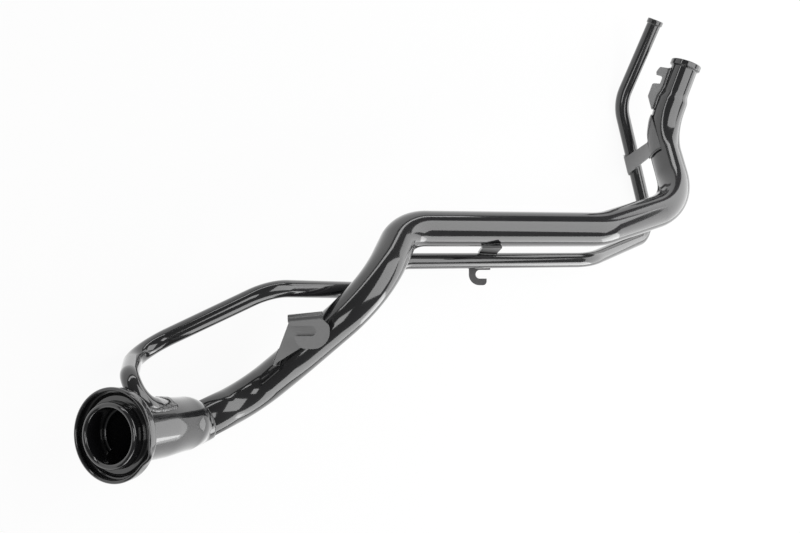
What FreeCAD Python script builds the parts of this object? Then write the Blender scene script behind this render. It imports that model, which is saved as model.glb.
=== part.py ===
import FreeCAD, Part
import math
import os

# Fuel filler neck of a car: a bent steel filler tube with a drawn cup, a drip dish and a cap seat at its
# mouth, a thin vent tube beside it, three folded brackets and a strap, all welded into one piece.
# Millimetres. It lies as it rests on a bench, +Z up. The origin is the centre of the mouth's front plane,
# and +X is the level direction from the mouth towards the bend near the tank end.

Vector = FreeCAD.Vector

# Filler tube, from the seam under the cup to the hose spigot at the tank end
tube_radius = 17.5
tube_wall = 1.5
tube_route = [
    Vector(93.7, -51.4, -62.7),
    Vector(155.1, -57.8, -72.8),
    Vector(193.8, -32.8, -35.6),
    Vector(270.1, 5.1, 8.9),
    Vector(344.1, 35.7, -25.8),
    Vector(539.9, -44.6, 28.0),
    Vector(663.0, -65.7, 26.5),
    Vector(726.0, -4.4, -36.8),
    Vector(778.4, 62.0, -21.4),
]
tube_bend_radii = [50.0, 110.0, 90.0, 40.0, 67.0, 71.0, 79.0]
spigot_radius = 15.0
spigot_taper_start = 5.0
spigot_taper_length = 11.0
spigot_taper_bend = 8.0
spigot_bead_height = 2.6
spigot_bead_length = 5.5
spigot_bead_bend = 1.6
spigot_end_slope = 1.2
spigot_end_bend = 0.9

# Vent tube, from its seat in the cup wall, round the loop behind the dish, to its own hose end
vent_radius = 8.0
vent_wall = 1.0
vent_route = [
    Vector(62.1, -13.0, -25.6),
    Vector(35.7, 9.9, -3.2),
    Vector(39.3, 30.4, -17.9),
    Vector(72.9, 25.8, -88.5),
    Vector(186.6, 43.9, -18.3),
    Vector(291.2, -7.3, -37.7),
    Vector(334.7, 4.3, -39.7),
    Vector(562.9, -92.6, -26.8),
    Vector(715.9, -127.7, -80.2),
    Vector(718.8, 37.1, -80.2),
    Vector(769.5, 118.1, -43.2),
]
vent_bend_radii = [16.0, 16.0, 31.0, 39.0, 39.0, 40.0, 95.0, 30.0, 51.0]
vent_bead_height = 1.2
vent_bead_length = 5.0
vent_bead_bend = 1.2
vent_end_slope = 0.9
vent_end_bend = 0.6

# Cup: the wide drawn body under the mouth, along the neck axis from the mouth to the seam
neck_direction = Vector(0.771, -0.403, -0.493)
cup_radius = 26.0
cup_wall = 1.5
cup_edge = 2.6
cup_straight_end = 60.0
shoulder_start = 100.0
shoulder_radius = 24.0
shoulder_waist = 112.0
shoulder_waist_radius = 22.6
shoulder_lean = 0.35
collar_length = 6.0
collar_wall = 1.5
slip_fit = 0.1

# Cap seat: thin sleeve in the mouth, curled over the cup's edge, with two cap cams at its inner end
seat_bore_radius = 22.3
seat_wall = 1.1
seat_depth = 21.0
seat_curl_radius = 1.9
seat_skirt_end = 7.0
cam_lip_radius = 19.4
cam_lip_thickness = 1.2
cam_rise = 2.6
cam_entry_angle = 44.0

# Drip dish round the mouth, with a rolled rim and a pinched drain spout
dish_reach = 12.8
dish_rim_radius = cup_radius + dish_reach
dish_rim_front = 4.0
dish_bead_radius = 1.6
dish_wall = 1.2
dish_back = 14.4
dish_corner_radius = 3.0
dish_gutter = 5.6
dish_step_outer = dish_rim_radius - dish_gutter
dish_step_slope = 1.4
dish_step_inner = dish_step_outer - dish_step_slope
dish_floor = 11.4
dish_fold_radius = 1.3
dish_neck_front = 7.6
spout_angle = 112.0
spout_inset = 2.4
spout_offset = dish_rim_radius - spout_inset
spout_top_gap = 0.4
spout_radius = 4.6
spout_tip_radius = 1.2
spout_hole_radius = 0.3

# Brackets: folded steel sheet
sheet = 2.5
slot_width = 9.0

# Welds: the size of every fillet, and how far the dish's bead reaches over its floor
weld_size = 2.2
dish_weld_reach = 1.0
dish_weld_toe = 0.4

# Hair's breadth by which a rounded slot end stays short of a half circle
hair = 0.01

# The brackets were folded square to one setting direction of the jig, which leans over the tube
jig_across = Vector(0.763, -0.294, 0.5756)
jig_up = Vector(0.4006, 0.914, -0.0643)

# Front bracket: slotted plate in front, folded over the top into a carrier plate with two feet
front_corner = Vector(189.3, 17.5, -9.6)
front_top_width = 30.5
front_top_rise = 3.0
front_top_corner = 3.0
front_lobe_right = 37.0
front_lobe_top_corner = 6.0
front_lobe_radius = 15.0
front_lobe_bottom = -30.3
front_slot_top = -9.8
front_slot_start = 3.0
front_slot_end = 25.0
front_arm_end = 6.0
front_arm_radius = 10.5
front_fold_gap = 8.0
front_carrier_left = -14.5
front_carrier_bottom = -45.5
front_carrier_right_bottom = -17.4
front_foot_share = 0.68
front_foot_depth = 30.0

# Middle bracket: a leg back from the filler tube over the vent tube, and a slotted hook below
middle_corner = Vector(409.3, -9.8, -2.0)
middle_width = 19.5
middle_leg_front = 6.0
middle_leg_sink = 18.0
middle_leg_back = -54.0
middle_leg_end = -5.4
middle_bend_radius = 4.0
middle_neck_bottom = -12.0
middle_neck_lap = 2.0
middle_neck_corner = 2.0
middle_shoulder_drop = 8.0
middle_shoulder_corner = 3.0
middle_hook_left = -9.4
middle_hook_right = 12.5
middle_hook_bottom = -39.2
middle_hook_radius = 11.0
middle_hook_tip = 9.0
middle_hook_tip_corner = 4.0
middle_slot_top = -23.3
middle_slot_end = -2.5
middle_slot_cheek = 5.0

# End bracket: a flat tab on the flank of the spigot, open at the side
end_corner = Vector(759.2, 63.3, -32.6)
end_tab_outline = [
    (0.0, 0.0), (-9.0, 1.3), (-12.9, -3.6), (-12.9, -7.6), (-5.8, -9.6), (-9.0, -18.1),
    (-17.5, -17.4), (-22.8, -31.9), (-18.8, -47.1), (2.0, -47.1), (14.0, 0.0)]
end_tab_radii = [0, 2.0, 2.0, 1.0, 2.0, 1.5, 2.5, 4.0, 2.0, 0, 0]

# Strap that ties the vent tube to the filler tube near the tank end
strap_width = 20.0
strap_sheet = 2.0
strap_tube_run = 6
strap_tube_share = 0.75
strap_saddle_tail = 30.0
strap_vent_run = 8
strap_vent_share = 0.55
strap_saddle_start = 79.0
strap_saddle_end = 125.0
strap_curl_end = 38.0


def unit(vector):
    """Return the vector scaled to length one."""
    return vector * (1.0 / vector.Length)


def frame(origin, x_dir, y_hint):
    """Return the placement with its X along x_dir, its Y near y_hint and its Z square to both."""
    x_axis = unit(x_dir)
    z_axis = unit(x_axis.cross(y_hint))
    y_axis = z_axis.cross(x_axis)
    return FreeCAD.Placement(FreeCAD.Matrix(
        x_axis.x, y_axis.x, z_axis.x, origin.x,
        x_axis.y, y_axis.y, z_axis.y, origin.y,
        x_axis.z, y_axis.z, z_axis.z, origin.z,
        0.0, 0.0, 0.0, 1.0))


def axis_frame(origin, z_dir, x_hint):
    """Return the placement with its Z along z_dir and its X near x_hint."""
    y_axis = unit(z_dir.cross(x_hint))
    return frame(origin, y_axis.cross(z_dir), y_axis)


def placed(shape, placement):
    """Return a copy of a shape carried from its own frame into the part's frame."""
    copy = shape.copy()
    copy.Placement = placement.multiply(copy.Placement)
    return copy


def path_pieces(points, radii, closed=False):
    """Split a route into pieces: (start, end) where straight, and
    (start, middle, end, centre, axis, angle) where round. An open route has one radius for each
    inner corner, and a closed one a radius for each corner."""
    count = len(points)
    rounds = {}
    for corner in range(count) if closed else range(1, count - 1):
        radius = radii[corner] if closed else radii[corner - 1]
        before = unit(points[corner] - points[corner - 1])
        after = unit(points[(corner + 1) % count] - points[corner])
        turn = before.getAngle(after)
        if radius <= 0.0 or turn < 1e-4:
            continue
        setback = radius * math.tan(turn / 2.0)
        start = points[corner] - before * setback
        end = points[corner] + after * setback
        centre = start + unit(after - before * before.dot(after)) * radius
        middle = centre + unit(points[corner] - centre) * radius
        axis = unit(before.cross(after))
        rounds[corner] = (start, middle, end, centre, axis, math.degrees(turn))
    pieces = []
    cursor = rounds[0][2] if closed and 0 in rounds else points[0]
    for corner in list(range(1, count)) + ([0] if closed else []):
        stop = rounds[corner][0] if corner in rounds else points[corner]
        if (stop - cursor).Length > 1e-6:
            pieces.append((cursor, stop))
        cursor = stop
        if corner in rounds:
            pieces.append(rounds[corner])
            cursor = rounds[corner][2]
    return pieces


def outline(points, radii=None):
    """Return a closed wire of lines, with an arc at each corner that has a radius."""
    radii = radii or [0.0] * len(points)
    edges = []
    for piece in path_pieces(points, radii, closed=True):
        if len(piece) == 2:
            edges.append(Part.LineSegment(piece[0], piece[1]).toShape())
        else:
            edges.append(Part.Arc(piece[0], piece[1], piece[2]).toShape())
    return Part.Wire(edges)


def bar_along(pieces, radius):
    """Return the solid round bar that follows the pieces of a route."""
    solids = []
    for piece in pieces:
        start = piece[0]
        if len(piece) == 2:
            solids.append(Part.makeCylinder(radius, (piece[1] - start).Length, start, piece[1] - start))
        else:
            centre, axis, angle = piece[3:]
            disc = Part.Face(Part.Wire([Part.makeCircle(radius, start, axis.cross(start - centre))]))
            solids.append(disc.revolve(centre, axis, angle))
    return solids[0].multiFuse(solids[1:]) if len(solids) > 1 else solids[0]


def ribbon(pairs, radii, thickness):
    """Return a face in the XZ plane: sheet of one thickness along a middle line of (x, z) corners.

    One radius is given for each inner corner, on the middle line."""
    points = [Vector(x, 0, z) for x, z in pairs]
    last = len(points) - 1
    runs = [unit(points[index + 1] - points[index]) for index in range(last)]
    sides = [Vector(-run.z, 0, run.x) for run in runs]
    left, right, left_radii, right_radii = [], [], [], []
    for index, point in enumerate(points):
        before = sides[max(index - 1, 0)]
        after = sides[min(index, last - 1)]
        mitre = unit(before + after)
        shift = mitre * (thickness / 2.0 / mitre.dot(before))
        left.append(point + shift)
        right.append(point - shift)
        if 0 < index < last:
            turns_left = runs[index - 1].x * runs[index].z - runs[index - 1].z * runs[index].x > 0.0
            grow = -thickness / 2.0 if turns_left else thickness / 2.0
            left_radii.append(radii[index - 1] + grow)
            right_radii.append(radii[index - 1] - grow)
        else:
            left_radii.append(0.0)
            right_radii.append(0.0)
    return Part.Face(outline(left + right[::-1], left_radii + right_radii[::-1]))


def turned(face):
    """Return the solid made by turning a face of the XZ plane about the Z axis."""
    return face.revolve(Vector(0, 0, 0), Vector(0, 0, 1), 360)


def profile(pairs, radii=None):
    """Return a face in the XZ plane from (radius, height) corners."""
    return Part.Face(outline([Vector(r, 0, s) for r, s in pairs], radii))


def plate(pairs, radii, bottom, top):
    """Return flat sheet with (x, y) corners between two heights along Z."""
    face = Part.Face(outline([Vector(x, y, bottom) for x, y in pairs], radii))
    return face.extrude(Vector(0, 0, top - bottom))


def disc_wire(centre, normal, radius):
    """Return the wire of a circle."""
    return Part.Wire([Part.makeCircle(radius, centre, normal)])


def bead_between(first_thick, second_thick, first, second):
    """Return the weld bead that fills the corner of two pieces, from thicker copies of both."""
    return first_thick.common(second_thick).cut(first).cut(second)


# Lines that the pieces share
mouth = Vector(0, 0, 0)
seam = tube_route[0]
neck_axis = unit(neck_direction)
neck_frame = axis_frame(mouth, neck_axis, jig_up)
first_run = unit(tube_route[1] - seam)
tube_pieces = path_pieces(tube_route, tube_bend_radii)
vent_pieces = path_pieces(vent_route, vent_bend_radii)


def on_neck(distance):
    """Return the point of the neck axis at a distance behind the mouth."""
    return mouth + neck_axis * distance


def end_frame(pieces):
    """Return the frame of a tube's last straight run, and that run's length."""
    start, stop = pieces[-1]
    side = neck_axis.cross(stop - start)
    return axis_frame(start, stop - start, side), (stop - start).Length


def tube_spigot_line(length):
    """Return the middle line of the filler tube's narrowed end, with its rolled bead."""
    full = tube_radius - tube_wall / 2.0
    narrow = spigot_radius - tube_wall / 2.0
    raised = narrow + spigot_bead_height
    taper_end = spigot_taper_start + spigot_taper_length
    bead_start = length - spigot_bead_length
    pairs = [
        (full, 0.0), (full, spigot_taper_start), (narrow, taper_end),
        (narrow, bead_start - spigot_bead_height), (raised, bead_start),
        (raised, length - spigot_end_slope), (raised - spigot_end_slope, length)]
    return pairs, [spigot_taper_bend, spigot_taper_bend, spigot_bead_bend, spigot_bead_bend, spigot_end_bend]


def spigot_body(pieces, grow):
    """Return the filled, narrowed end of the filler tube, grown by a margin."""
    place, length = end_frame(pieces)
    taper_end = spigot_taper_start + spigot_taper_length
    body = turned(profile([
        (0.0, 0.0), (tube_radius + grow, 0.0), (tube_radius + grow, spigot_taper_start),
        (spigot_radius + grow, taper_end), (spigot_radius + grow, length), (0.0, length)]))
    return placed(body, place)


def vent_spigot_line(length):
    """Return the middle line of the vent tube's end, with its rolled bead."""
    full = vent_radius - vent_wall / 2.0
    raised = full + vent_bead_height
    bead_start = length - vent_bead_length
    pairs = [
        (full, 0.0), (full, bead_start - vent_bead_height), (raised, bead_start),
        (raised, length - vent_end_slope), (raised - vent_end_slope, length)]
    return pairs, [vent_bead_bend, vent_bead_bend, vent_end_bend]


def tube_with_spigot(pieces, radius, wall, spigot_line):
    """Return the full outer bar and the hollow tube with its formed end."""
    place, length = end_frame(pieces)
    outer = bar_along(pieces, radius)
    bore = bar_along(pieces[:-1], radius - wall)
    pairs, radii = spigot_line(length)
    spigot = placed(turned(ribbon(pairs, radii, wall)), place)
    hollow = bar_along(pieces[:-1], radius).cut(bore).fuse(spigot)
    return outer, hollow


def cup_solids():
    """Return the cup's outer body, its hollow, and its outer body with the weld size added."""
    waist_dir = unit(neck_axis + (first_run - neck_axis) * shoulder_lean)
    bodies = []
    for grow in (0.0, -cup_wall, weld_size):
        barrel = placed(turned(profile([
            (0.0, cup_edge + min(grow, 0.0)), (cup_radius + grow, cup_edge + min(grow, 0.0)),
            (cup_radius + grow, cup_straight_end), (shoulder_radius + grow, shoulder_start),
            (0.0, shoulder_start)])), neck_frame)
        end_radius = tube_radius + slip_fit + collar_wall + grow
        if grow < 0.0:
            end_radius = tube_radius + slip_fit
        shoulder = Part.makeLoft([
            disc_wire(on_neck(shoulder_start), neck_axis, shoulder_radius + grow),
            disc_wire(on_neck(shoulder_waist), waist_dir, shoulder_waist_radius + grow),
            disc_wire(seam, first_run, end_radius)], True, False)
        collar = Part.makeCylinder(end_radius, collar_length + max(-grow, 0.0), seam, first_run)
        bodies.append(barrel.multiFuse([shoulder, collar]))
    return bodies


def seat_solid():
    """Return the cap seat: bore sleeve, curled lip, and the inner lip with its two cap cams."""
    inner = seat_bore_radius + seat_wall / 2.0
    outer = inner + 2.0 * seat_curl_radius
    lip_top = seat_wall / 2.0
    sleeve = turned(ribbon(
        [(inner, seat_depth), (inner, lip_top), (outer, lip_top), (outer, seat_skirt_end)],
        [seat_curl_radius, seat_curl_radius], seat_wall))
    floor_ring = turned(profile([
        (cam_lip_radius, seat_depth), (seat_bore_radius + seat_wall, seat_depth),
        (seat_bore_radius + seat_wall, seat_depth + cam_lip_thickness + cam_rise),
        (cam_lip_radius, seat_depth + cam_lip_thickness + cam_rise)]))
    sweep = 180.0 - cam_entry_angle
    reach = 2.0 * cup_radius
    slope = math.degrees(math.atan2(cam_rise, cam_lip_radius))
    for half in (0.0, 180.0):
        entry = Part.makeCylinder(reach, reach, Vector(0, 0, 0), Vector(0, 0, 1), cam_entry_angle)
        entry.rotate(Vector(0, 0, 0), Vector(0, 0, 1), half)
        floor_ring = floor_ring.cut(entry)
        wedge = Part.makeCylinder(reach, reach, Vector(0, 0, 0), Vector(0, 0, 1), sweep)
        wedge.rotate(Vector(0, 0, 0), Vector(1, 0, 0), slope / 2.0)
        wedge.translate(Vector(0, 0, seat_depth + cam_lip_thickness))
        wedge.rotate(Vector(0, 0, 0), Vector(0, 0, 1), half + cam_entry_angle)
        floor_ring = floor_ring.cut(wedge)
    return placed(sleeve.fuse(floor_ring), neck_frame)


def dish_solid():
    """Return the drip dish, with its rolled rim, its stepped floor and its pinched drain spout."""
    skirt = dish_rim_radius - dish_bead_radius + dish_wall / 2.0
    bead_height = dish_rim_front + dish_bead_radius
    neck = cup_radius + slip_fit + dish_wall / 2.0
    section = ribbon(
        [(skirt, bead_height), (skirt, dish_back), (dish_step_outer, dish_back),
         (dish_step_inner, dish_floor), (neck, dish_floor), (neck, dish_neck_front)],
        [dish_corner_radius, dish_fold_radius, dish_fold_radius, dish_fold_radius], dish_wall)
    rim = Part.makeTorus(dish_rim_radius - dish_bead_radius, dish_bead_radius, Vector(0, 0, bead_height))
    shell = turned(section).fuse(rim)
    turn = math.radians(spout_angle)
    foot = Vector(
        spout_offset * math.cos(turn), spout_offset * math.sin(turn), dish_rim_front + spout_top_gap)
    height = dish_back - dish_corner_radius - foot.z
    spout = Part.makeCone(spout_radius, spout_tip_radius, height, foot)
    hollow = Part.makeCone(spout_radius - dish_wall, spout_hole_radius, height - dish_wall,
                           foot - Vector(0, 0, hair))
    inside = Part.makeCylinder(skirt - dish_wall / 2.0, dish_back - dish_rim_front, Vector(0, 0, foot.z))
    spout = spout.cut(inside).cut(hollow)
    return placed(shell.cut(hollow).fuse(spout), neck_frame)


def jig_frame(corner):
    """Return the frame of a bracket: X across, Y up the plate, Z out of its face."""
    return frame(corner, jig_across, jig_up)


def flange(start, stop, depth_top, depth_bottom, grow=0.0):
    """Return a foot square to a plate, along one edge given by two (x, y) points."""
    first, second = Vector(start[0], start[1], 0), Vector(stop[0], stop[1], 0)
    along = unit(second - first)
    inward = Vector(-along.y, along.x, 0)
    corners = [
        first - inward * grow, second - inward * grow,
        second + inward * (sheet + grow), first + inward * (sheet + grow)]
    return plate([(p.x, p.y) for p in corners], None, depth_bottom, depth_top)


def front_bracket_solid(grow):
    """Return the front bracket before it is fitted to the tube, as sheet grown by a margin."""
    fold_outer = front_fold_gap / 2.0 + sheet
    along = Vector(front_top_width, front_top_rise, 0)
    drop = fold_outer
    slot_bottom = front_slot_top - slot_width
    slot_radius = slot_width / 2.0 - hair
    slotted = plate(
        [(0.0, -drop), (front_top_width, front_top_rise - drop), (front_lobe_right, front_slot_top),
         (front_lobe_right, front_lobe_bottom), (front_arm_end, front_lobe_bottom),
         (front_arm_end, slot_bottom), (front_slot_end, slot_bottom), (front_slot_end, front_slot_top),
         (front_slot_start, front_slot_top)],
        [0, front_top_corner, front_lobe_top_corner, front_lobe_radius, front_arm_radius, 0, slot_radius,
         slot_radius, 0], -sheet, 0.0)
    back = -(2.0 * sheet + front_fold_gap)
    carrier = plate(
        [(0.0, -drop), (front_carrier_left, front_carrier_bottom),
         (front_top_width, front_carrier_right_bottom), (front_top_width, front_top_rise - drop)],
        None, back - grow, back + sheet + grow)
    hinge = Vector(0, -drop, -(sheet + front_fold_gap / 2.0))
    strip = Part.Face(outline([
        Vector(0, -drop, -sheet), Vector(front_top_width, front_top_rise - drop, -sheet),
        Vector(front_top_width, front_top_rise - drop, 0), Vector(0, -drop, 0)]))
    fold = strip.revolve(hinge, along, -180)
    top = Vector(0, -drop, 0)
    tip = Vector(front_carrier_left, front_carrier_bottom, 0)
    upper = top + (tip - top) * front_foot_share
    left_foot = flange((upper.x, upper.y), (tip.x, tip.y), back + sheet, back - front_foot_depth, grow)
    right_tip = Vector(front_top_width, front_carrier_right_bottom, 0)
    right_start = tip + (right_tip - tip) * front_foot_share
    right_foot = flange((right_start.x, right_start.y), (right_tip.x, right_tip.y),
                        back + sheet, back - front_foot_depth, grow)
    feet = left_foot.fuse(right_foot)
    place = jig_frame(front_corner)
    if grow > 0.0:
        return placed(feet, place)
    return placed(carrier.multiFuse([fold, slotted, feet]), place)


def middle_bracket_solid(grow):
    """Return the middle bracket before it is fitted to the tubes, as sheet grown by a margin."""
    thick = sheet + 2.0 * grow
    plate_z = middle_leg_back - sheet / 2.0
    leg_face = ribbon(
        [(middle_leg_front, tube_radius - middle_leg_sink), (plate_z, middle_leg_end),
         (plate_z, middle_neck_bottom)],
        [middle_bend_radius], thick)
    leg = leg_face.extrude(Vector(0, middle_width, 0))
    leg.rotate(Vector(0, 0, 0), Vector(1, 1, 1), -120)
    slot_bottom = middle_slot_top - slot_width
    slot_radius = slot_width / 2.0 - hair
    hook = plate(
        [(0.0, middle_neck_bottom + middle_neck_lap), (middle_width, middle_neck_bottom + middle_neck_lap),
         (middle_width, middle_neck_bottom - middle_neck_lap),
         (middle_hook_right, middle_slot_top + middle_slot_cheek),
         (middle_hook_right, middle_slot_top), (middle_slot_end, middle_slot_top),
         (middle_slot_end, slot_bottom), (middle_hook_tip, slot_bottom),
         (middle_hook_tip, middle_hook_bottom), (middle_hook_left, middle_hook_bottom),
         (middle_hook_left, middle_neck_bottom - middle_shoulder_drop), (0.0, middle_neck_bottom)],
        [0, 0, middle_neck_corner, middle_neck_corner, 0, slot_radius, slot_radius, 0,
         middle_hook_tip_corner, middle_hook_radius, middle_shoulder_corner, middle_neck_corner],
        middle_leg_back - sheet - grow, middle_leg_back + grow)
    return placed(leg.fuse(hook), jig_frame(middle_corner))


def end_bracket_solid(grow):
    """Return the end bracket before it is fitted to the spigot, as sheet grown by a margin."""
    tab = plate(end_tab_outline, end_tab_radii, -sheet - grow, grow)
    return placed(tab, jig_frame(end_corner))


def sector(place, start_angle, end_angle, reach, bottom, top):
    """Return a wedge of space about the Z axis of a frame, to cut a band from a tube's skin."""
    half = (end_angle - start_angle) / 2.0
    corner = reach / math.cos(math.radians(half))
    points = [(0.0, 0.0)]
    for angle, stretch in ((start_angle, reach), (start_angle + half, corner), (end_angle, reach)):
        turn = math.radians(angle)
        points.append((stretch * math.cos(turn), stretch * math.sin(turn)))
    return placed(plate(points, None, bottom, top), place)


def strap_frames():
    """Return the frames of the strap on the filler tube and on the vent tube."""
    tube_from, tube_to = tube_route[strap_tube_run], tube_route[strap_tube_run + 1]
    tube_point = tube_from + (tube_to - tube_from) * strap_tube_share
    vent_from, vent_to = vent_route[strap_vent_run], vent_route[strap_vent_run + 1]
    vent_point = vent_from + (vent_to - vent_from) * strap_vent_share
    across = vent_point - tube_point
    return (axis_frame(tube_point, tube_to - tube_from, across),
            axis_frame(vent_point, vent_to - vent_from, across))


def strap_solid(grow):
    """Return the strap: a saddle on the filler tube, a twisted bridge and a curl on the vent tube."""
    tube_place, vent_place = strap_frames()
    thick = strap_sheet + grow
    tube_skin = bar_along(tube_pieces, tube_radius + thick)
    vent_skin = bar_along(vent_pieces, vent_radius + thick)
    reach = tube_radius * 2.0
    half = strap_width / 2.0 + grow
    saddle = tube_skin.common(sector(
        tube_place, strap_saddle_start, strap_saddle_end, reach, -half, half + strap_saddle_tail))
    curl = vent_skin.common(sector(vent_place, strap_curl_end, strap_saddle_start, reach, -half, half))
    turn = math.radians(strap_saddle_start)
    wires = []
    for place, radius in ((tube_place, tube_radius), (vent_place, vent_radius)):
        corners = []
        skin = radius + thick
        for distance, side in ((radius, -half), (skin, -half), (skin, half), (radius, half)):
            local = Vector(distance * math.cos(turn), distance * math.sin(turn), side)
            corners.append(place.multVec(local))
        wires.append(Part.makePolygon(corners + corners[:1]))
    bridge = Part.makeLoft(wires, True, True)
    return saddle.multiFuse([bridge, curl])


def build():
    """Return every piece of the filler neck by name."""
    tube_outer, tube = tube_with_spigot(tube_pieces, tube_radius, tube_wall, tube_spigot_line)
    vent_outer, vent = tube_with_spigot(vent_pieces, vent_radius, vent_wall, vent_spigot_line)
    cup_outer, cup_hollow, cup_thick = cup_solids()
    bend_body = bar_along(tube_pieces[-3:-1], tube_radius)
    end_fit = bend_body.multiFuse([spigot_body(tube_pieces, -tube_wall / 2.0), tube])
    end_thick = bar_along(tube_pieces[-3:-1], tube_radius + weld_size).fuse(
        spigot_body(tube_pieces, weld_size))
    tube_thick = bar_along(tube_pieces, tube_radius + weld_size)
    vent_thick = bar_along(vent_pieces, vent_radius + weld_size)

    cup = cup_outer.cut(cup_hollow).cut(bar_along(vent_pieces[:2], vent_radius - vent_wall))
    vent = vent.cut(cup_outer)
    dish = dish_solid()
    front = front_bracket_solid(0.0).cut(tube_outer)
    middle = middle_bracket_solid(0.0).cut(tube_outer).cut(vent_outer)
    end = end_bracket_solid(0.0).cut(end_fit)
    strap = strap_solid(0.0).cut(tube_outer).cut(vent_outer)
    strap_thick = strap_solid(weld_size)

    collar_end = seam + first_run * collar_length
    seam_ring = Part.makeCylinder(tube_radius + slip_fit + collar_wall, weld_size, collar_end, first_run)
    dish_ring = placed(turned(profile([
        (cup_radius, dish_floor), (cup_radius + weld_size + dish_weld_reach, dish_floor),
        (cup_radius + weld_size, dish_floor + dish_wall / 2.0 + dish_weld_toe),
        (cup_radius, dish_floor + dish_wall / 2.0 + weld_size)])), neck_frame)
    return {
        "filler_cup": cup,
        "cap_seat": seat_solid(),
        "drip_dish": dish,
        "filler_tube": tube,
        "vent_tube": vent,
        "front_bracket": front,
        "middle_bracket": middle,
        "end_bracket": end,
        "vent_strap": strap,
        "weld_cup_tube": seam_ring.cut(tube_outer),
        "weld_dish_cup": dish_ring.cut(dish).cut(cup_outer),
        "weld_vent_cup": bead_between(vent_thick, cup_thick, vent_outer, cup_outer),
        "weld_front_bracket": bead_between(front_bracket_solid(weld_size), tube_thick, front, tube_outer),
        "weld_middle_tube": bead_between(middle_bracket_solid(weld_size), tube_thick, middle, tube_outer),
        "weld_middle_vent": bead_between(middle_bracket_solid(weld_size), vent_thick, middle, vent_outer),
        "weld_end_bracket": bead_between(end_bracket_solid(weld_size), end_thick, end, end_fit),
        "weld_strap_tube": bead_between(strap_thick, tube_thick, strap, tube_outer),
        "weld_strap_vent": bead_between(strap_thick, vent_thick, strap, vent_outer),
    }


def main():
    """Build the pieces, print what each measures and write them out."""
    os.makedirs("parts", exist_ok=True)
    for name, shape in build().items():
        box = shape.BoundBox
        print(name, "solids", len(shape.Solids), "volume", round(shape.Volume), "valid", shape.isValid(),
              "box", [round(v) for v in (box.XMin, box.YMin, box.ZMin, box.XMax, box.YMax, box.ZMax)])
        shape.exportStep("parts/" + name + ".step")


main()
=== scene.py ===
import logging
import math
from dataclasses import dataclass, field
from enum import Enum
from typing import Callable, Iterable, Optional

import bmesh
import bpy
import numpy as np
from mathutils import Matrix, Vector


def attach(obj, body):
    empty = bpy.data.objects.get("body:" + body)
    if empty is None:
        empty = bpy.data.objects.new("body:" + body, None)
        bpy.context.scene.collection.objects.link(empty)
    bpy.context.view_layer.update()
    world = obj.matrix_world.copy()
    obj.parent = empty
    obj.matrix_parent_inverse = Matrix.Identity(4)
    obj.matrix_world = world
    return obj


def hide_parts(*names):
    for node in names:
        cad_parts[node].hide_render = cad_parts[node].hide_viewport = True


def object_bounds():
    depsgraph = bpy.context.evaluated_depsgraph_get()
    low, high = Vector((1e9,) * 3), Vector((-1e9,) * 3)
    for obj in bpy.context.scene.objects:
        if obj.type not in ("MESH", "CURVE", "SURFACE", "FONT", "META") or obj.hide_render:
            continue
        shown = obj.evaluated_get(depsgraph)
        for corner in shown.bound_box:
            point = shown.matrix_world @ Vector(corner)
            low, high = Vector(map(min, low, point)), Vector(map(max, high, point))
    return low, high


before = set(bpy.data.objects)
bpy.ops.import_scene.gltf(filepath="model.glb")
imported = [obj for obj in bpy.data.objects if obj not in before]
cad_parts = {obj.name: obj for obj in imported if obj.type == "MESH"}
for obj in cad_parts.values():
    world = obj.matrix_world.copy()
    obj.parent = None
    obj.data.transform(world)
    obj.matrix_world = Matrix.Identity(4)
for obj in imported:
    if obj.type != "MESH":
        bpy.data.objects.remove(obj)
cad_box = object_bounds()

LOG = logging.getLogger("filler_neck")
MM = 0.001
# Angles of the points that round the end of a sheet's section, in degrees
END_TURNS = (-60.0, -30.0, 0.0, 30.0, 60.0)
# How far a bead's middle line stands off the skin below it, the collar and the dish, in millimetres
BEAD_RISE = 0.5
SEAM_STEP = 0.5
DISH_STEP = 0.4
# Gap over which the end of a wall closes, and by which an arc stays short of its corner, in millimetres
END_GAP = 0.02
ARC_GAP = 0.01

Pair = tuple[float, float]
Warp = Callable[[float, float, float], Pair]


class Slot(Enum):
    """Material slots of the record."""

    TUBE = "tube_paint"
    BRACKET = "bracket_paint"
    SEAT = "seat_paint"
    WELD = "weld_paint"


class Station(Enum):
    """Names of the radii that each point of a swept path carries."""

    OUTER = "outer_radius"
    INNER = "inner_radius"


@dataclass(frozen=True)
class Directions:
    """Directions that several pieces share, as unit vectors of the row frame."""

    neck: Vector = Vector((0.771, -0.403, -0.493)).normalized()
    jig_up: Vector = Vector((0.4006, 0.914, -0.0643)).normalized()
    jig_across: Vector = Vector((0.763, -0.294, 0.5756)).normalized()


AIM = Directions()


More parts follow.
